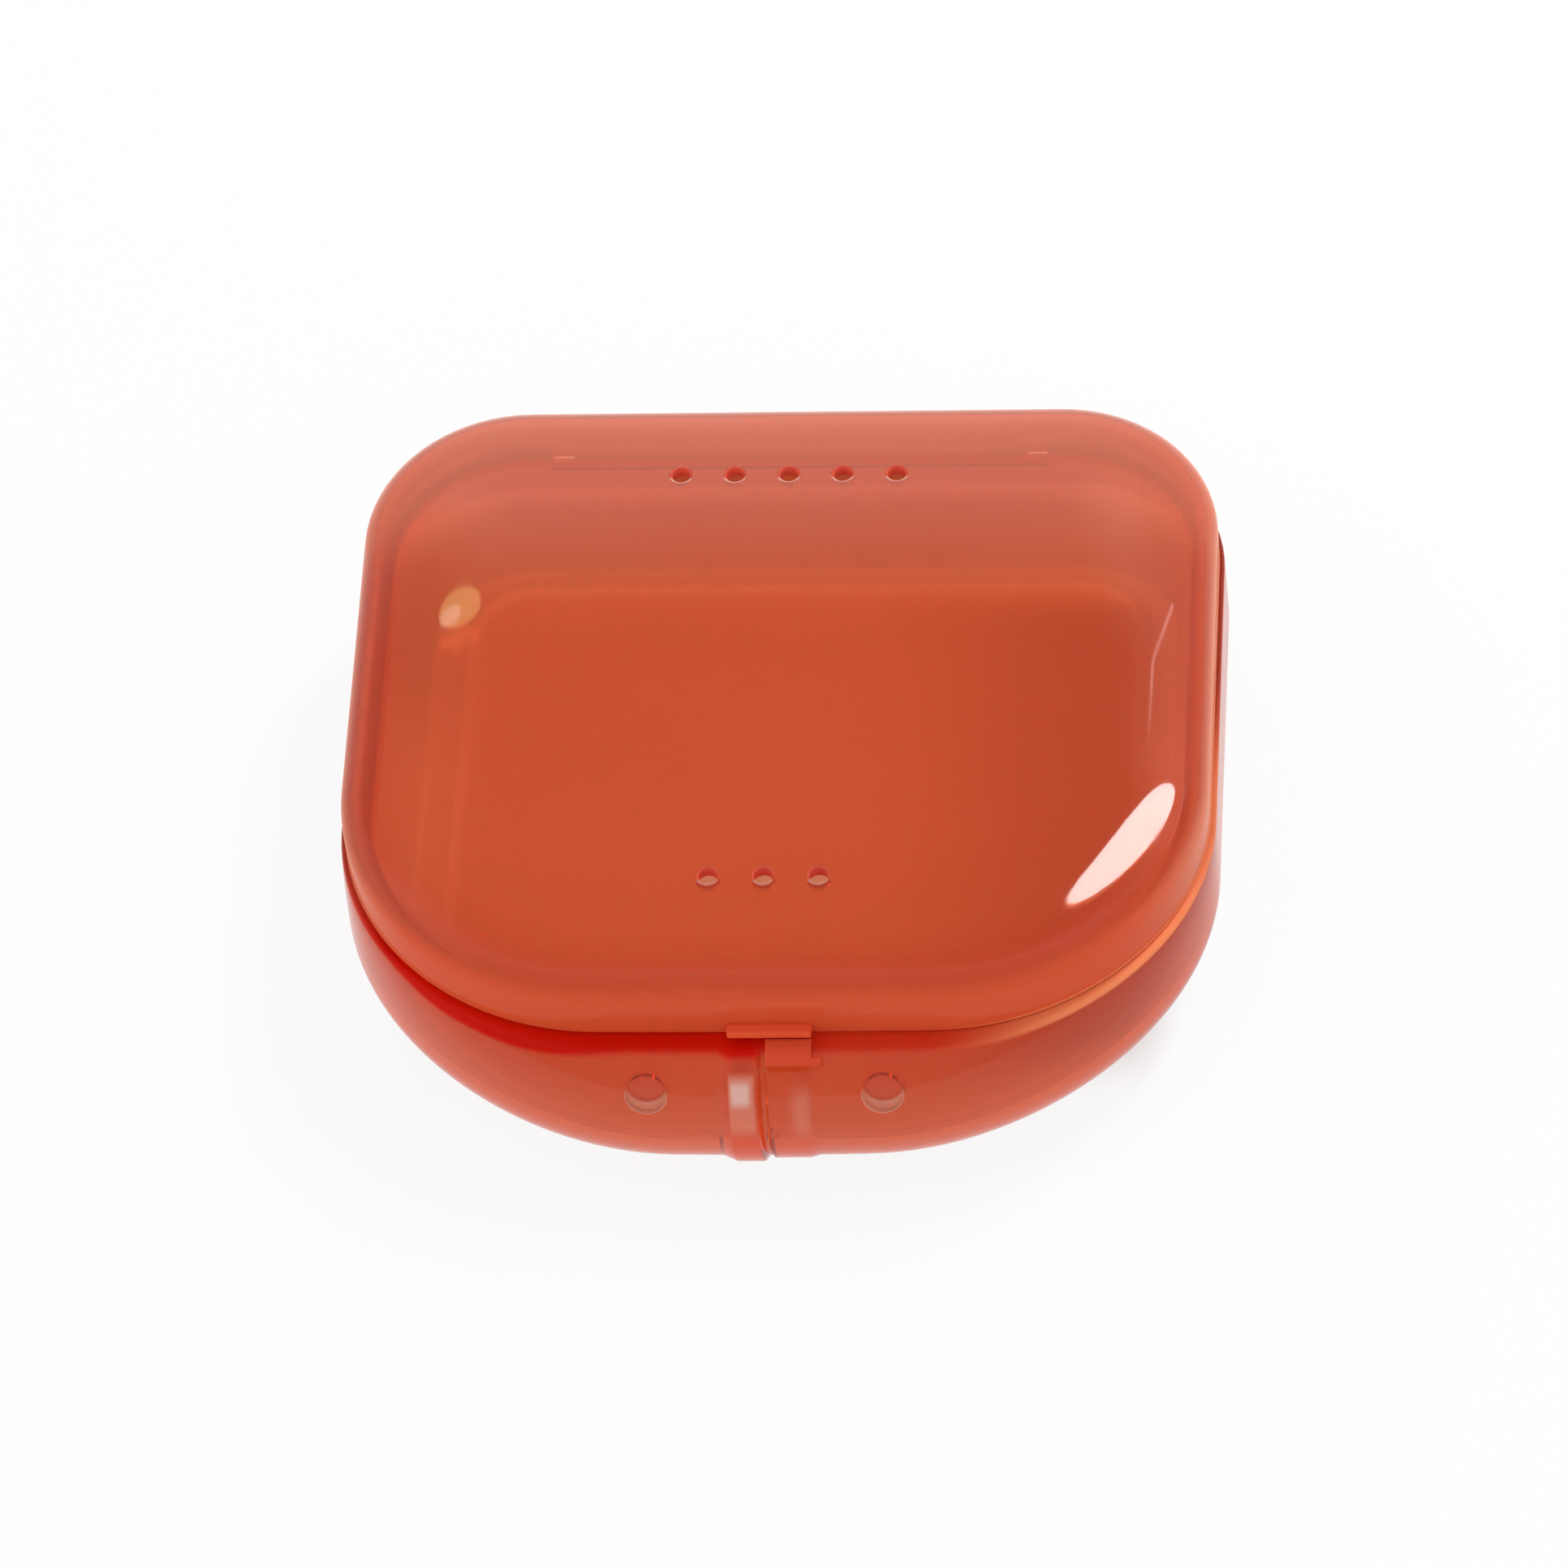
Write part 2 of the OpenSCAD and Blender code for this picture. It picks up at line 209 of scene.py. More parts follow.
def mesh_from(bm, name):
    bmesh.ops.recalc_face_normals(bm, faces=bm.faces)
    mesh = bpy.data.meshes.new(name)
    bm.to_mesh(mesh)
    bm.free()
    return mesh


def shell_mesh(name, rings):
    """A closed shell through rings of equal length, with a flat cap of smaller rings at each end."""
    bm = bmesh.new()
    rows = rows_of(bm, rings)
    stitch(bm, rows)
    n = len(rows[0])
    for row, turn in ((rows[0], 1), (rows[-1], -1)):
        middle = sum((v.co for v in row), Vector()) / n
        inner = row
        for t in CAP_RINGS:
            nearer = [bm.verts.new(middle + (v.co - middle) * t) for v in row]
            for i in range(n):
                k = (i + 1) % n
                face = (nearer[i], nearer[k], inner[k], inner[i])
                bm.faces.new(face if turn > 0 else face[::-1])
            inner = nearer
        tip = bm.verts.new(middle)
        for i in range(n):
            face = (tip, inner[(i + 1) % n], inner[i])
            bm.faces.new(face[::-1] if turn > 0 else face)
    return mesh_from(bm, name)


def bar_mesh(name, rings):
    """A closed bar through rings of equal length, with one flat face at each end."""
    bm = bmesh.new()
    rows = rows_of(bm, rings)
    stitch(bm, rows)
    bm.faces.new(rows[0])
    bm.faces.new(rows[-1])
    return mesh_from(bm, name)


def piece(name, mesh):
    obj = bpy.data.objects.new(name, mesh)
    bpy.context.collection.objects.link(obj)
    return obj


def settle(obj, sharp=34):
    """Makes the modifiers part of the mesh and shades it smooth, with its real edges kept."""
    graph = bpy.context.evaluated_depsgraph_get()
    mesh = bpy.data.meshes.new_from_object(obj.evaluated_get(graph), depsgraph=graph)
    obj.modifiers.clear()
    obj.data = mesh
    mesh.shade_smooth()
    mesh.set_sharp_from_angle(angle=math.radians(sharp))
    return obj


def carve(obj, cutter, operation="DIFFERENCE"):
    """Cuts or joins one mesh with another, and removes the tool."""
    cut = obj.modifiers.new("carve", "BOOLEAN")
    cut.operation = operation
    cut.solver = "MANIFOLD"
    cut.object = cutter
    settle(obj)
    bpy.data.objects.remove(cutter)


def hinge_bar(name, start, end, radius, round_off=0.0, facets=64):
    """A bar turned about the hinge's axis, with its ends rounded off."""
    stations = [(start, radius), (end, radius)]
    if round_off:
        bend = 0.3 * round_off
        stations = [(start, radius - round_off), (start + bend, radius - bend), (start + round_off, radius),
                    (end - round_off, radius), (end - bend, radius - bend), (end, radius - round_off)]
    angles = [2 * math.pi * i / facets for i in range(facets)]
    rings = [[(x, BACK + r * math.cos(a), HINGE_Z + r * math.sin(a)) for a in angles] for x, r in stations]
    return piece(name, bar_mesh(name, rings))


def block(name, low, high, bevel):
    """A box between two corners with rounded edges."""
    mesh = bpy.data.meshes.new(name)
    bm = bmesh.new()
    bmesh.ops.create_cube(bm, size=1)
    for v in bm.verts:
        v.co = Vector([(a + (b - a) * (c + 0.5)) * MM for a, b, c in zip(low, high, v.co)])
    bmesh.ops.bevel(bm, geom=bm.edges[:], offset=bevel * MM, segments=3, profile=0.5, affect="EDGES")
    bm.to_mesh(mesh)
    bm.free()
    return piece(name, mesh)


def base_rings():
    """Rings from under the floor, up the outside, over the rim and lip, and down inside."""
    rows = []

    def outer(z, plan):
        rows.append([(x, y - (latch_relief(x, z) if y < 0 and abs(x) < LATCH_REACH else 0), z)
                     for x, y in outline(plan)])

    def plain(z, plan):
        rows.append([(x, y, z) for x, y in outline(plan)])

    for t in steps(WALL_STEPS):
        down, in_ = bowl_wall(1 - t)
        outer(BELLY_Z * (1 - down), mix(BELLY_PLAN, FLOOR_PLAN, in_))
    heights = [BELLY_Z + (RIM_Z - BELLY_Z) * math.sin(quarter(t)) for t in steps(WALL_STEPS, 1)]
    heights += [PAD_TOP + rise for rise in PAD_RINGS]
    for z in sorted(z for z in heights if z < RIM_Z - EDGE - RING_GAP):
        outer(z, base_plan_at(z))
    for t in steps(RIM_STEPS):
        z = RIM_Z - EDGE * (1 - math.sin(quarter(t)))
        outer(z, inset(base_plan_at(z), EDGE * (1 - math.cos(quarter(t)))))
    plain(RIM_Z, inset(LID_PLAN, LIP_OUTER - LAND))
    plain(RIM_Z, inset(LID_PLAN, LIP_OUTER))
    top, under = RIM_Z + LIP_HEIGHT, RIM_Z - RIM_FLANGE
    for z in (RIM_Z + LAND, top - 2 * LAND, top - EDGE):
        plain(z, inset(LID_PLAN, LIP_OUTER))
    for t in steps(EDGE_STEPS, 1):
        a = quarter(t)
        plain(top - EDGE * (1 - math.sin(a)), inset(LID_PLAN, LIP_OUTER + EDGE * (1 - math.cos(a))))
    for t in steps(EDGE_STEPS):
        a = quarter(1 - t)
        plain(top - EDGE * (1 - math.sin(a)), inset(LID_PLAN, LIP_INNER - EDGE * (1 - math.cos(a))))
    for z in (top - 2 * LAND, RIM_Z, under + LAND):
        plain(z, inset(LID_PLAN, LIP_INNER))
    for t in steps(WALL_STEPS):
        a = quarter(1 - t)
        plain(BELLY_Z + (under - BELLY_Z) * math.sin(a),
              mix(inset(BELLY_PLAN, BASE_WALL), inset(LID_PLAN, LIP_INNER), 1 - math.cos(a)))
    for t in steps(WALL_STEPS, 1):
        down, in_ = bowl_wall(t)
        plain(BELLY_Z + (BASE_WALL - BELLY_Z) * down, mix(inset(BELLY_PLAN, BASE_WALL), FLOOR_PLAN, in_))
    return rows


def lid_levels(d):
    """Heights and insets up the lid's wall, fillet and crown, for the skin at a depth d in its wall."""
    edge = LID_EDGE - d
    slope = math.radians(CROWN_SLOPE)
    crown = CROWN_RUN / math.sin(slope) - d
    shoulder = LID_RIM_Z + LID_UPRIGHT
    sweep = math.pi / 2 - slope
    crown_z = shoulder + edge * math.sin(sweep)
    crown_in = LID_EDGE - edge * math.cos(sweep)
    levels = [(LID_RIM_Z + z, d) for z in LID_RINGS]
    for t in steps(FILLET_STEPS):
        a = sweep * t
        levels.append((shoulder + edge * math.sin(a), LID_EDGE - edge * math.cos(a)))
    for t in steps(CROWN_STEPS, 1):
        a = slope * (1 - t)
        levels.append((crown_z + crown * (math.cos(a) - math.cos(slope)),
                       crown_in + crown * (math.sin(slope) - math.sin(a))))
    return levels


def lid_rings():
    """Rings from under the lid's top, down inside, round the rim and up the outside."""
    levels = lid_levels(LID_WALL)[::-1]
    for t in steps(EDGE_STEPS, 1):
        a = quarter(1 - t)
        levels.append((LID_RIM_Z + EDGE * (1 - math.cos(a)), LID_WALL - EDGE * (1 - math.sin(a))))
    for t in steps(EDGE_STEPS):
        a = quarter(t)
        levels.append((LID_RIM_Z + EDGE * (1 - math.cos(a)), EDGE * (1 - math.sin(a))))
    levels += lid_levels(0)[1:]
    return [[(x, y, z) for x, y in outline(inset(LID_PLAN, d))] for z, d in levels]


def flap(name, x0, x1, low, high):
    """A strip of the latch tab, set off the base's front and as high as the base is between two heights."""
    near, away = TAB_STEP * TAB_GAP, TAB_STEP * (TAB_GAP + TAB_WALL)
    rings = []
    for t in steps(TAB_STEPS):
        z = low + (high - low) * t
        y = front_at(z)
        rings.append([(x, y - d, z + d) for x, d in ((x0, away), (x1, away), (x1, near), (x0, near))])
    return piece(name, bar_mesh(name, rings))


class Value:
    """A node's socket, with the operators in use and one method that makes nodes."""

    def __init__(self, tree, socket=None):
        self.tree, self.socket = tree, socket

    def node(self, kind, settings=None, out=0, **links):
        """Makes a node. An input is named, with _ for a space, or numbered, as in _0."""
        made = self.tree.nodes.new(kind)
        for key, value in (settings or {}).items():
            setattr(made, key, value)
        for key, value in links.items():
            socket = made.inputs[int(key[1:])] if key[0] == "_" else made.inputs[key.replace("_", " ")]
            if isinstance(value, Value):
                self.tree.links.new(value.socket, socket)
            else:
                socket.default_value = value
        return None if out is None else Value(self.tree, made.outputs[out])

    def maths(self, operation, *terms):
        links = {f"_{i}": term for i, term in enumerate(terms)}
        return self.node("ShaderNodeMath", {"operation": operation}, **links)

    def vector(self, operation, a, b=None, out=0):
        second = {} if b is None else {"_1": b}
        return self.node("ShaderNodeVectorMath", {"operation": operation}, out, _0=a, **second)

    def axes(self, count=3):
        return [self.node("ShaderNodeSeparateXYZ", out=i, _0=self) for i in range(count)]

    def blend(self, share, a, b):
        """A colour that goes from a to b with the share."""
        ends = [c if isinstance(c, Value) else (*c, 1) for c in (a, b)]
        return self.node("ShaderNodeMix", {"data_type": "RGBA"}, 2, _0=share, _6=ends[0], _7=ends[1])

    def at_least(self, floor):
        return self.maths("MAXIMUM", self, floor)

    def size(self):
        return self.maths("ABSOLUTE", self)

    def clear_of(self, low, high):
        """0 up to low and 1 from high."""
        return self.node("ShaderNodeMapRange", {"interpolation_type": "SMOOTHSTEP"},
                         _0=self, _1=low, _2=high, _3=0.0, _4=1.0)

    def __add__(self, other):
        return self.maths("ADD", self, other)

    def __radd__(self, other):
        return self.maths("ADD", other, self)

    def __sub__(self, other):
        return self.maths("SUBTRACT", self, other)

    def __rsub__(self, other):
        return self.maths("SUBTRACT", other, self)

    def __mul__(self, other):
        return self.maths("MULTIPLY", self, other)

    def __rmul__(self, other):
        return self.maths("MULTIPLY", other, self)

    def __truediv__(self, other):
        return self.maths("DIVIDE", self, other)

    def __pow__(self, other):
        return self.maths("POWER", self, other)


# Rows of round holes: a tool for each row, made by one node tree.
BORE_INPUTS = (("Count", "Int"), ("Pitch", "Float"), ("Start", "Vector"), ("Tilt", "Vector"),
               ("Radius", "Float"), ("Length", "Float"), ("Wall", "Float"), ("Flare", "Float"),
               ("Finish", "Material"))


def bore_tree():
    """Bars in a row, each opened out by its flare at both faces of the wall that it goes through."""
    tree = bpy.data.node_groups.new("bore_row", "GeometryNodeTree")
    for name, kind in BORE_INPUTS:
        tree.interface.new_socket(name=name, in_out="INPUT", socket_type="NodeSocket" + kind)
    tree.interface.new_socket(name="Geometry", in_out="OUTPUT", socket_type="NodeSocketGeometry")
    root = Value(tree)
    given = {name: root.node("NodeGroupInput", out=name) for name, kind in BORE_INPUTS}
    bar = root.node("GeometryNodeMeshCylinder", Vertices=56, Side_Segments=24,
                    Radius=given["Radius"], Depth=given["Length"])
    x, y, z = root.node("GeometryNodeInputPosition").axes()
    past = z.size() - (given["Wall"] * 0.5 - given["Flare"])
    open_out = past.at_least(0.0) / given["Radius"]
    widened = root.node("ShaderNodeCombineXYZ", _0=x * open_out, _1=y * open_out)
    flared = root.node("GeometryNodeSetPosition", Geometry=bar, Offset=widened)
    pitch = root.node("ShaderNodeCombineXYZ", _0=given["Pitch"])
    line = root.node("GeometryNodeMeshLine", Count=given["Count"], Start_Location=given["Start"], Offset=pitch)
    row = root.node("GeometryNodeInstanceOnPoints", Points=line, Instance=flared, Rotation=given["Tilt"])
    whole = root.node("GeometryNodeRealizeInstances", Geometry=row)
    finished = root.node("GeometryNodeSetMaterial", Geometry=whole, Material=given["Finish"])
    root.node("NodeGroupOutput", out=None, Geometry=finished)
    return tree


def bore_row(tree, finish, **sizes):
    obj = piece("bore_row", bpy.data.meshes.new("bore_row"))
    made = obj.modifiers.new("bores", "NODES")
    made.node_group = tree
    values = dict(sizes, Finish=finish)
    for item in tree.interface.items_tree:
        if item.in_out == "INPUT":
            made[item.identifier] = values[item.name]
    return settle(obj)


# Places on the case, as masks from 0 to 1 made of its three coordinates. Their own sizes are in millimetres.
def beyond(value, none, whole):
    return value.clear_of(none * MM, whole * MM)


def short_of(value, whole, none):
    return 1 - value.clear_of(whole * MM, none * MM)


def between(value, low, full_low, full_high, high):
    """1 from full_low to full_high, fading to 0 at low and at high."""
    return beyond(value, low, full_low) * short_of(value, full_high, high)


def distance(a, b):
    return (a * a + b * b) ** 0.5


def zone(across=None, back=None, height=None):
    """The place inside every span given. A span is the four sizes that between takes."""
    def share(*place):
        whole = 1
        for value, span in zip(place, (across, back, height)):
            if span:
                whole = between(value, *span) * whole
        return whole
    return share


# Ends of spans: none on the low or the high side, behind the latch, and over the rim, sharper and softer.
NO_LOW, NO_HIGH, AT_FRONT = (-100, -99), (99, 100), (-30, -29)
RIM_TOP, RIM_FADE = (RIM_Z + 0.02, RIM_Z + 0.1), (RIM_Z + 0.02, RIM_Z + 0.15)

# Where the lip is broken, along the barrel and the pegs.
LIP_BREAK = (-EAR_START - 0.2, -EAR_START, EAR_START, EAR_START + 0.2)

# Painted light: a paler face on the rib, where it catches light.
painted_light_rib_face = zone((-3.4, -3.0, -1.0, -0.6), (*NO_LOW, *AT_FRONT), (8.5, 11, 15.2, 15.8))
# A painted glint near the top of the rib's face.
painted_glint_rib_top = zone((-3.3, -2.7, -1.6, -0.9), (*NO_LOW, *AT_FRONT), (12.4, 13.6, 14.5, 15.4))
# Painted light: a paler, lit edge on the pad's right side.
painted_light_pad_edge = zone((1.8, 3.2, 3.7, 4.5), (*NO_LOW, *AT_FRONT), (7, 11, 13, 15.4))
# Painted reflection: a pale veil on the base's rim at the back.
painted_rear_rim_reflection = zone(back=(28, 31, *NO_HIGH), height=(12, 14.5, *RIM_FADE))
lip_wall = zone(height=(16.7, 16.9, 17.8, 17.95))
lip_top = zone(height=(17.8, 17.95, 18.3, 18.4))

# The edge and the flat of the rim where there is no lip.
rim_line = zone(LIP_BREAK, (30, 31, 32.4, 32.6), (16.2, 16.4, *RIM_TOP))
rim_flat = zone(LIP_BREAK, (32.4, 32.6, *NO_HIGH), (15, 15.4, *RIM_TOP))

# A clearer line round the bowl's foot, and a painted highlight on both sides of the joint of base and lid at
# the front right corner.
floor_line = zone(height=(1.62, 1.7, 1.85, 2.05))
painted_seam_highlight = zone((14, 28, *NO_HIGH), (*NO_LOW, -8, 8), (16.0, 16.3, 17.05, 17.3))

front_wall = zone(back=(*NO_LOW, -30, -8), height=(16.7, 16.9, 21.6, 23.6))
# Painted reflection: a pale veil on the lid's upright wall at the back and along the sides.
painted_rear_wall_reflection = zone(back=(-30, -8, *NO_HIGH), height=(16.7, 16.9, 21.4, 23.6))
ledge = zone(back=(*NO_LOW, -35.2, -35.05))


def painted_shade_under_rim(across, back, height):
    """Painted shade under the lid's rim at the front, deepest to the left of the middle and fainter to the
    right.
    """
    fainter = 1 - 0.25 * beyond(across, 1, 8) - 0.2 * beyond(across, 14, 30)
    deeper = height + 0.6 * MM * between(across, -36, -29, -24, -12)
    return beyond(deeper, 15.9, 16.5) * short_of(height, *RIM_FADE) * short_of(back, -26, -10) * fainter


def bowl_foot(across, back, height):
    """The bowl's wall, more and more towards the back."""
    return between(height, 1.62, 1.8, 7, 15.5) * (0.35 * beyond(back, -24, -14) + 0.65 * beyond(back, 5, 20))


def off_recess_axis(across, back, height, raised=0.0):
    """Distance from the axis of the nearer of the two front recesses, or from a line raised above it."""
    beside = across.node("ShaderNodeCombineXYZ", _0=across.size(), _1=back, _2=height)
    mouth = Vector((RECESS_SPACING / 2, front_at(RECESS_Z), RECESS_Z + raised)) * MM
    away = across.vector("CROSS_PRODUCT", across.vector("SUBTRACT", beside, mouth), heading(-90, RECESS_TILT))
    return across.vector("LENGTH", away, out=1)


def recess(across, back, height):
    radius = RECESS_DIAMETER / 2
    return short_of(back, *AT_FRONT) * short_of(off_recess_axis(across, back, height), radius, radius + 0.1)


def painted_light_recess_foot(across, back, height):
    """A painted highlight on the lower part of the recesses, where their wall catches light."""
    radius = RECESS_DIAMETER / 2
    low = beyond(off_recess_axis(across, back, height, 0.9), radius - 0.2, radius + 0.2)
    return low * recess(across, back, height)


def painted_rear_crown_reflection(across, back, height):
    """Where a pale reflection is painted: the outer skin of the crown's back, told from the inner by its
    distance from the crown's centre line.
    """
    slope = math.radians(CROWN_SLOPE)
    radius = CROWN_RUN / math.sin(slope)
    inward = LID_EDGE * (1 - math.sin(slope)) + CROWN_RUN
    centre = LID_RIM_Z + LID_UPRIGHT + LID_EDGE * math.cos(slope) - radius * math.cos(slope)
    aside = (across.size() - (LID_WIDTH / 2 - REAR_RADIUS) * MM).at_least(0.0)
    behind = (back - (BACK - REAR_RADIUS) * MM).at_least(0.0)
    along = distance(aside, behind) - (REAR_RADIUS - inward) * MM
    outer = beyond(distance(along, height - centre * MM), radius - 0.9, radius - 0.5)
    return outer * beyond(height, 19, 21) * beyond(along, -2, 7) * beyond(back, 12, 22)


def barrel(across, back, height):
    away = distance(back - BACK * MM, height - HINGE_Z * MM)
    return short_of(away, BARREL_RADIUS + 0.03, BARREL_RADIUS + 0.15)


def vent_rows(across, back):
    """For each row of vents: the way along from its axes, the distance from the nearest, and where it is."""
    pitch = VENT_PITCH * MM
    beside = across - pitch * across.maths("ROUND", across / pitch)
    for count, y, drop in VENT_ROWS:
        along = back - y * MM
        reach = count * VENT_PITCH / 2
        yield along, distance(beside, along), between(across, -reach - 1, -reach, reach, reach + 1)


def vents(across, back, height):
    """The walls of both rows of vents."""
    radius = VENT_DIAMETER / 2
    rear, front = (where * short_of(away, radius + 0.03, radius + 0.12)
                   for along, away, where in vent_rows(across, back))
    return rear + front


def painted_vent_glint(across, back, height):
    """A painted highlight: a paler crescent on the near edge of each vent, fainter on the front row."""
    radius = VENT_DIAMETER / 2
    ring = (radius - 0.05, radius + 0.02, radius + 0.22, radius + 0.4)
    rear, front = (where * between(away, *ring) * short_of(along, -0.8, -0.35)
                   for along, away, where in vent_rows(across, back))
    return rear + 0.6 * front


# Where a piece is tinted or clouded apart from the rest, some of it painted shade, painted highlights and
# painted reflections: place, tint if any, cloud colour and share of cloud.
BASE_BANDS = [(bowl_foot, (0.93, 0.8, 0.71), (0.62, 0.13, 0.07), 0.18),
              (painted_shade_under_rim, (1, 0.1, 0.02), (0.72, 0.006, 0.002), 0.6),
              (recess, (0.96, 0.54, 0.38), (0.85, 0.13, 0.05), 0.0),
              (painted_light_recess_foot, None, (1, 0.5, 0.36), 0.45),
              (painted_light_rib_face, None, (1, 0.4, 0.27), 0.22),
              (painted_glint_rib_top, None, (1, 0.72, 0.62), 0.26),
              (painted_light_pad_edge, None, (1, 0.4, 0.28), 0.1),
              (painted_rear_rim_reflection, None, (1, 0.28, 0.15), 0.35),
              (lip_wall, None, (1, 0.28, 0.15), 0.5),
              (lip_top, None, (0.45, 0.02, 0.01), 0.7),
              (rim_line, None, (0.45, 0.02, 0.01), 0.7),
              (rim_flat, None, (0.95, 0.12, 0.04), 0.5),
              (floor_line, None, (0.89, 0.15, 0.05), -0.15),
              (painted_seam_highlight, None, (1, 0.3, 0.13), 0.45)]
LID_BANDS = [(front_wall, None, (0.98, 0.135, 0.047), 0.52),
             (painted_rear_wall_reflection, None, (1, 0.33, 0.19), 0.44),
             (painted_rear_crown_reflection, None, (1, 0.27, 0.14), 0.16),
             (ledge, None, (0.95, 0.12, 0.045), 0.4),
             (barrel, None, (0.92, 0.11, 0.045), 0.6),
             (vents, None, (1, 0.2, 0.13), 0.6),
             (painted_vent_glint, None, (1, 0.62, 0.52), 0.4),
             (painted_seam_highlight, None, (1, 0.3, 0.13), 0.3)]

# Unevenness of the plastic: scale per metre, detail and roughness of each noise.
FLOW, SMEAR, GRAIN, WAVE = (38, 3, 0.5), (140, 4, 0.6), (2600, 2, 0.5), (60, 1, 0.5)

# What it does: the span of the flow over which tints change, how it dulls and thickens the cloud, where smears
# start, and what smears and grain add to the roughness and waves and grain to the relief.
FLOW_TINT, FLOW_DULL, FLOW_CLOUD = (0.3, 0.7), 0.97, 0.06
SMEAR_START, SMEAR_ROUGH, GRAIN_ROUGH, WAVE_RELIEF, GRAIN_RELIEF = (0.5, 0.75), 0.05, 0.015, 0.6, 0.006

# Doming of the lid's top towards the back: its strength, and where it starts in millimetres.
DOME, DOME_START, DOME_LEVEL = 4.2e4, 2, (19, 20)

# Ejector marks under the floor: places, radius where the step starts and ends in millimetres, and strength.
EJECTOR_MARKS = [(-24, 22), (24, 22), (-21, -17), (21, -17)]
MARK_EDGE, MARK_RELIEF = (2.35, 2.6), 0.16


def plastic(name, pale, deep, thick, haze, milk, absorb, density, rough, bands=(), marks=()):
    """Clear tinted plastic: a glossy skin with some cloud, over a body that takes up green and blue light."""
    mat = bpy.data.materials.new(name)
    mat.use_nodes = True
    tree = mat.node_tree
    tree.nodes.clear()
    place = Value(tree).node("ShaderNodeTexCoord", out="Object")

    def noise(scale, detail, roughness):
        return place.node("ShaderNodeTexNoise", Vector=place, Scale=scale, Detail=detail, Roughness=roughness)

    flow, smear, grain, wave = (noise(*row) for row in (FLOW, SMEAR, GRAIN, WAVE))
    across, back, height = place.axes()
    tint = place.blend(flow.clear_of(*FLOW_TINT), pale, deep)
    tint = place.blend(short_of(height, BASE_WALL + 0.03, BASE_WALL + 0.35), tint, thick)
    milky = place.blend(flow.clear_of(*FLOW_TINT), haze, [FLOW_DULL * c for c in haze])
    share = milk + FLOW_CLOUD * flow
    for where, band_tint, band_milk, more in bands:
        mask = where(across, back, height)
        if band_tint:
            tint = place.blend(mask, tint, band_tint)
        milky = place.blend(mask, milky, band_milk)
        share = share + more * mask
    roughness = rough + SMEAR_ROUGH * smear.clear_of(*SMEAR_START) + GRAIN_ROUGH * grain
    relief = WAVE_RELIEF * wave + GRAIN_RELIEF * grain
    relief = relief - DOME * beyond(height, *DOME_LEVEL) * (back - DOME_START * MM).at_least(0.0) ** 2
    for x, y in marks:
        away = place.vector("SUBTRACT", place, (x * MM, y * MM, 0))
        reach = place.vector("LENGTH", place.vector("MULTIPLY", away, (1, 1, 0)), out=1)
        relief = relief + MARK_RELIEF * beyond(reach, *MARK_EDGE)
    bump = place.node("ShaderNodeBump", Strength=0.35, Distance=0.0002, Height=relief)
    skin = place.node("ShaderNodeBsdfPrincipled", Base_Color=tint, Roughness=roughness, IOR=1.45,
                      Transmission_Weight=1.0, Normal=bump)
    cloud = place.node("ShaderNodeBsdfPrincipled", Base_Color=milky, Roughness=0.35, Specular_IOR_Level=0.0,
                       Normal=bump)
    both = place.node("ShaderNodeMixShader", _0=share, _1=skin, _2=cloud)
    body = place.node("ShaderNodeVolumeAbsorption", Color=(*absorb, 1), Density=density)
    place.node("ShaderNodeOutputMaterial", out=None, Surface=both, Volume=body)
    return mat


# Pale, deep and thick tints, colour and share of cloud, colour and density of the body, and roughness.
SHELL = ((0.96, 0.82, 0.745), (0.95, 0.79, 0.705), (0.92, 0.7, 0.56), (0.89, 0.15, 0.05), 0.19,
         (0.995, 0.413, 0.0), 650, 0.03)
TAB = ((1, 0.7, 0.52), (0.99, 0.66, 0.48), (0.99, 0.66, 0.48), (0.92, 0.105, 0.04), 0.68,
       (1, 0.36, 0.0), 900, 0.04)
PEG = ((1, 0.83, 0.76), (0.99, 0.8, 0.72), (0.99, 0.8, 0.72), (1, 0.52, 0.4), 0.85,
       (1, 0.413, 0.0), 650, 0.04)
base_plastic = plastic("base_plastic", *SHELL, BASE_BANDS, EJECTOR_MARKS)
lid_plastic = plastic("lid_plastic", *SHELL, LID_BANDS)
tab_plastic = plastic("tab_plastic", *TAB)
peg_plastic = plastic("peg_plastic", *PEG)


def finish_piece(obj, mat, body, node):
    obj.data.materials.clear()
    obj.data.materials.append(mat)
    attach(obj, body)
    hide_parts(node)


# The pieces.
bores = bore_tree()
SIDES = (-1, 1)


def on_side(side, near, far):
    """Start and end of a bar that reaches from one distance off the middle to another, on one side."""
    return sorted((side * near, side * far))


base = settle(piece("base_bowl", shell_mesh("base_bowl", base_rings())))
carve(base, block("lip_break", (-EAR_START, BACK / 2, RIM_Z), (EAR_START, 2 * BACK, RIM_Z + 2 * LIP_HEIGHT),
                  BREAK_EDGE))
for side in SIDES:
    carve(base, hinge_bar("ear", *on_side(side, EAR_START, EAR_END), BARREL_RADIUS, BAR_EDGE), "UNION")
carve(base, hinge_bar("notch", -EAR_START, EAR_START, BARREL_RADIUS + HINGE_GAP))
for side in SIDES:
    reach = on_side(side, EAR_START - BORE_PAST, EAR_END + BORE_PAST)
    carve(base, hinge_bar("ear_bore", *reach, PEG_RADIUS + PEG_GAP))
outward = heading(-90, RECESS_TILT) * (RECESS_TOOL / 2 - RECESS_DEPTH)
recess_middle = Vector((0, front_at(RECESS_Z), RECESS_Z)) + outward
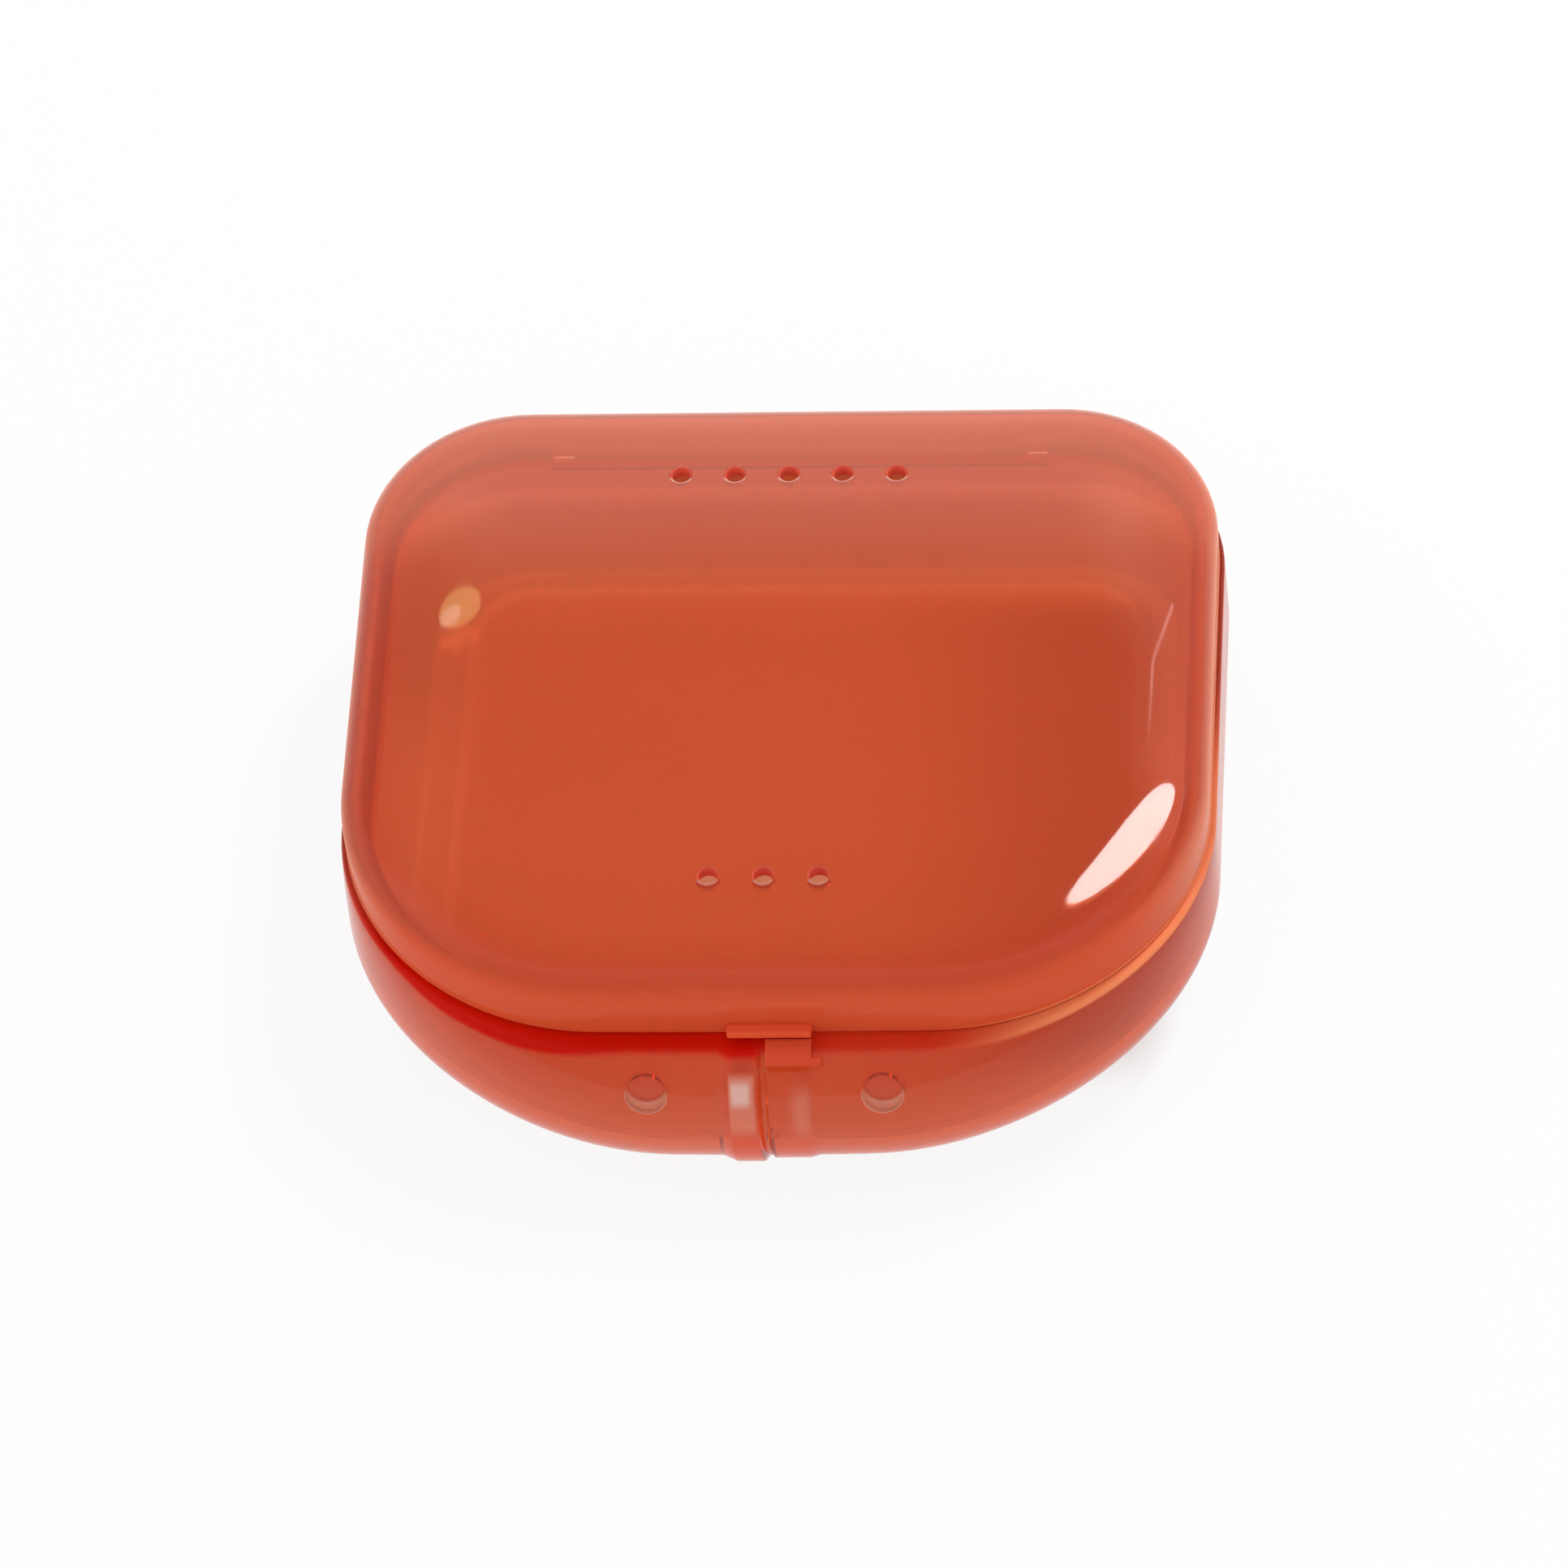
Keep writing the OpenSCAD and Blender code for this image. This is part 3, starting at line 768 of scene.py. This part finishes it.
carve(base, bore_row(bores, base_plastic, Count=2, Pitch=RECESS_SPACING * MM,
                     Start=(-RECESS_SPACING / 2 * MM, recess_middle.y * MM, recess_middle.z * MM),
                     Tilt=(math.radians(90 - RECESS_TILT), 0, 0), Radius=RECESS_DIAMETER / 2 * MM,
                     Length=RECESS_TOOL * MM, Wall=2 * RECESS_TOOL * MM, Flare=0.0))
finish_piece(base, base_plastic, "base", "base_shell")

lid = settle(piece("lid_cover", shell_mesh("lid_cover", lid_rings())))
carve(lid, block("ledge", (LATCH_END - LEDGE_WIDTH, -LID_DEPTH / 2 - LEDGE_DEPTH, LEDGE_Z),
                 (LATCH_END, -LID_DEPTH / 2 + LID_WALL / 2, LEDGE_Z + LEDGE_HEIGHT), LEDGE_EDGE), "UNION")
for side in SIDES:
    reach = on_side(side, BARREL_LENGTH / 2, EAR_END + HINGE_GAP)
    carve(lid, hinge_bar("notch", *reach, BARREL_RADIUS + HINGE_GAP))
carve(lid, hinge_bar("barrel", -BARREL_LENGTH / 2, BARREL_LENGTH / 2, BARREL_RADIUS, BAR_EDGE), "UNION")
for side in SIDES:
    reach = on_side(side, BARREL_LENGTH / 2 - PEG_SEAT, BARREL_LENGTH / 2 + BORE_PAST)
    carve(lid, hinge_bar("seat", *reach, PEG_RADIUS + SEAT_GAP))
crown_top = max(z for z, d in lid_levels(0))
for count, y, drop in VENT_ROWS:
    middle_z = crown_top - drop - LID_WALL / 2
    carve(lid, bore_row(bores, lid_plastic, Count=count, Pitch=VENT_PITCH * MM,
                        Start=(-(count - 1) / 2 * VENT_PITCH * MM, y * MM, middle_z * MM), Tilt=(0, 0, 0),
                        Radius=VENT_DIAMETER / 2 * MM, Length=VENT_TOOL * MM, Wall=LID_WALL * MM,
                        Flare=VENT_FLARE * MM))
finish_piece(lid, lid_plastic, "lid", "lid_shell")

for side, name in zip(SIDES, ("left", "right")):
    reach = on_side(side, BARREL_LENGTH / 2 - PEG_SEAT + SEAT_GAP, EAR_END - SEAT_GAP)
    peg = settle(hinge_bar("hinge_pin_" + name, *reach, PEG_RADIUS, PEG_EDGE))
    finish_piece(peg, peg_plastic, "lid", "hinge_peg_" + name)

tab_low = RIM_Z - TAB_DROP
tab = flap("latch_flap", LATCH_SIDE, LATCH_END, tab_low, RIM_Z)
carve(tab, flap("nib", LATCH_END - NIB_ROOT, LATCH_END + NIB_WIDTH, tab_low + NIB_LIFT, tab_low + NIB_HEIGHT),
      "UNION")
rounded = tab.modifiers.new("rounded", "BEVEL")
rounded.width = TAB_EDGE * MM
rounded.segments = 3
rounded.limit_method = "ANGLE"
rounded.angle_limit = math.radians(40)
settle(tab)
finish_piece(tab, tab_plastic, "latch", "latch_tab")

# Floor: radius in metres, drop below the case in millimetres, colour, and the share of it that is white.
TABLE_RADIUS, TABLE_DROP, TABLE_TINT, TABLE_GLOW = 5, 0.2, (0.96, 0.96, 0.955), 0.9

# The case's shade on the floor: its place, what it takes off all over, and what more to the right and where.
SHADE = zone((-36, -30, 31, 37), (-30, -18, 26, 32))
SHADE_ALL, SHADE_RIGHT, SHADE_TURN = 0.1, 0.42, (4, 28)


def pale_floor(name, tint, glow):
    """Matte and pale, with a share of it white to the camera and in the plastic, less in the case's shade."""
    mat = bpy.data.materials.new(name)
    mat.use_nodes = True
    tree = mat.node_tree
    tree.nodes.clear()
    place = Value(tree).node("ShaderNodeTexCoord", out="Object")
    cloud = place.node("ShaderNodeTexNoise", Vector=place, Scale=6.0, Detail=2.0)
    matte = place.node("ShaderNodeBsdfDiffuse", Color=place.blend(cloud, [0.99 * c for c in tint], tint))
    white = place.node("ShaderNodeEmission", Color=(1, 1, 1, 1), Strength=1.0)
    kinds = ("Camera", "Glossy", "Transmission")
    direct, mirrored, through = (place.node("ShaderNodeLightPath", out=f"Is {kind} Ray") for kind in kinds)
    seen = direct.at_least(mirrored).at_least(through)
    across, back = place.axes(2)
    glow = glow - SHADE(across, back) * (SHADE_ALL + SHADE_RIGHT * beyond(across, *SHADE_TURN))
    both = place.node("ShaderNodeMixShader", _0=glow * seen, _1=matte, _2=white)
    place.node("ShaderNodeOutputMaterial", out=None, Surface=both)
    return mat


floor_mesh = bpy.data.meshes.new("floor")
bm = bmesh.new()
bmesh.ops.create_circle(bm, cap_ends=True, segments=96, radius=TABLE_RADIUS)
bm.to_mesh(floor_mesh)
bm.free()
floor = piece("floor", floor_mesh)
floor.location.z = -TABLE_DROP * MM
floor.data.materials.append(pale_floor("pale_floor", TABLE_TINT, TABLE_GLOW))

# Sky: its strength, and patches of it: turn and rise of the heading, outer and inner angle, and level.
SKY_STRENGTH = 0.93
SKY_PATCHES = [(-90, 20, 70, 26, 0.6), (8, 15, 45, 20, 0.45), (97, 38, 22, 5, 1.9), (97, 68, 33, 21, 0.3),
               (126, 46, 22, 8, 0.4)]

world = bpy.data.worlds.new("studio")
bpy.context.scene.world = world
world.use_nodes = True
backdrop = world.node_tree.nodes["Background"]
backdrop.inputs["Strength"].default_value = SKY_STRENGTH
aim = Value(world.node_tree).node("ShaderNodeTexCoord", out="Generated")
sky = (1, 1, 1)
for turn, rise, outer, inner, level in SKY_PATCHES:
    facing = aim.vector("DOT_PRODUCT", aim, heading(turn, rise), out=1)
    share = facing.clear_of(math.cos(math.radians(outer)), math.cos(math.radians(inner)))
    sky = aim.blend(share, sky, (level, level, level))
world.node_tree.links.new(sky.socket, backdrop.inputs["Color"])

# Lamps: headings of both ends, width in degrees, strength, tint and shape. All stand LAMP_DISTANCE metres off.
LAMP_DISTANCE = 0.93
WHITE, AMBER = (1, 1, 1), (1, 0.85, 0.3)
LAMPS = [("window", (35.2, 70.6), (50.2, 44.8), 8.5, 22, WHITE, "ELLIPSE"),
         ("window_frame", (46.5, 41.8), (16.7, 43.2), 0.5, 6, WHITE, "RECTANGLE"),
         ("window_edge", (60.2, 38.1), (60.8, 45.5), 0.4, 5, WHITE, "RECTANGLE"),
         ("low_window", (119.2, 40.1), (107.6, 44.5), 3.3, 5, AMBER, "ELLIPSE"),
         ("low_window_pane", (119, 40.9), (113.5, 43), 1.6, 3.5, WHITE, "ELLIPSE")]


def lamp(name, one_end, other_end, width, strength, tint, shape):
    """A soft panel that reaches from one heading to another, with its face to the case."""
    ends = heading(*one_end) * LAMP_DISTANCE, heading(*other_end) * LAMP_DISTANCE
    place = (ends[0] + ends[1]) / 2
    back = place.normalized()
    along = (ends[1] - ends[0]).normalized()
    along = (along - back * along.dot(back)).normalized()
    data = bpy.data.lights.new(name, "AREA")
    data.shape = shape
    data.size = (ends[1] - ends[0]).length
    data.size_y = 2 * LAMP_DISTANCE * math.tan(math.radians(width / 2))
    data.energy = strength * math.pi * data.size * data.size_y * (math.pi / 4 if shape == "ELLIPSE" else 1)
    data.color = tint
    obj = bpy.data.objects.new(name, data)
    bpy.context.collection.objects.link(obj)
    facing = Matrix((along, back.cross(along), back)).transposed().to_4x4()
    obj.matrix_world = Matrix.Translation(place) @ facing


for row in LAMPS:
    lamp(*row)

# Camera: angles in degrees, distance and target height in millimetres, focus and shift in picture pixels.
ELEVATION, YAW, ROLL = (math.radians(a) for a in (50.737, 8.003, -6.642))
DISTANCE, TARGET_Z, PICTURE, FOCUS, SHIFT = 1063.8, 14, 1932, 14122.8, (1.36, 38.06)
toward = Vector((math.sin(YAW) * math.cos(ELEVATION), -math.cos(YAW) * math.cos(ELEVATION),
                 math.sin(ELEVATION)))
level_right = Vector((math.cos(YAW), math.sin(YAW), 0))
upward = toward.cross(level_right)
right = math.cos(ROLL) * level_right + math.sin(ROLL) * upward
above = math.cos(ROLL) * upward - math.sin(ROLL) * level_right
eye = Vector((0, 0, TARGET_Z)) + toward * DISTANCE - (right * SHIFT[0] + above * SHIFT[1]) * (DISTANCE / FOCUS)
camera_data = bpy.data.cameras.new("camera")
camera_data.lens = FOCUS / PICTURE * camera_data.sensor_width
camera_data.clip_start, camera_data.clip_end = 0.01, 50
camera = bpy.data.objects.new("camera", camera_data)
bpy.context.collection.objects.link(camera)
camera.matrix_world = Matrix.Translation(eye * MM) @ Matrix((right, above, toward)).transposed().to_4x4()
bpy.context.scene.camera = camera

bpy.context.scene.view_settings.view_transform = "Standard"
bpy.context.scene.cycles.max_bounces = 32
bpy.context.scene.cycles.glossy_bounces = 24
bpy.context.scene.cycles.transmission_bounces = 24
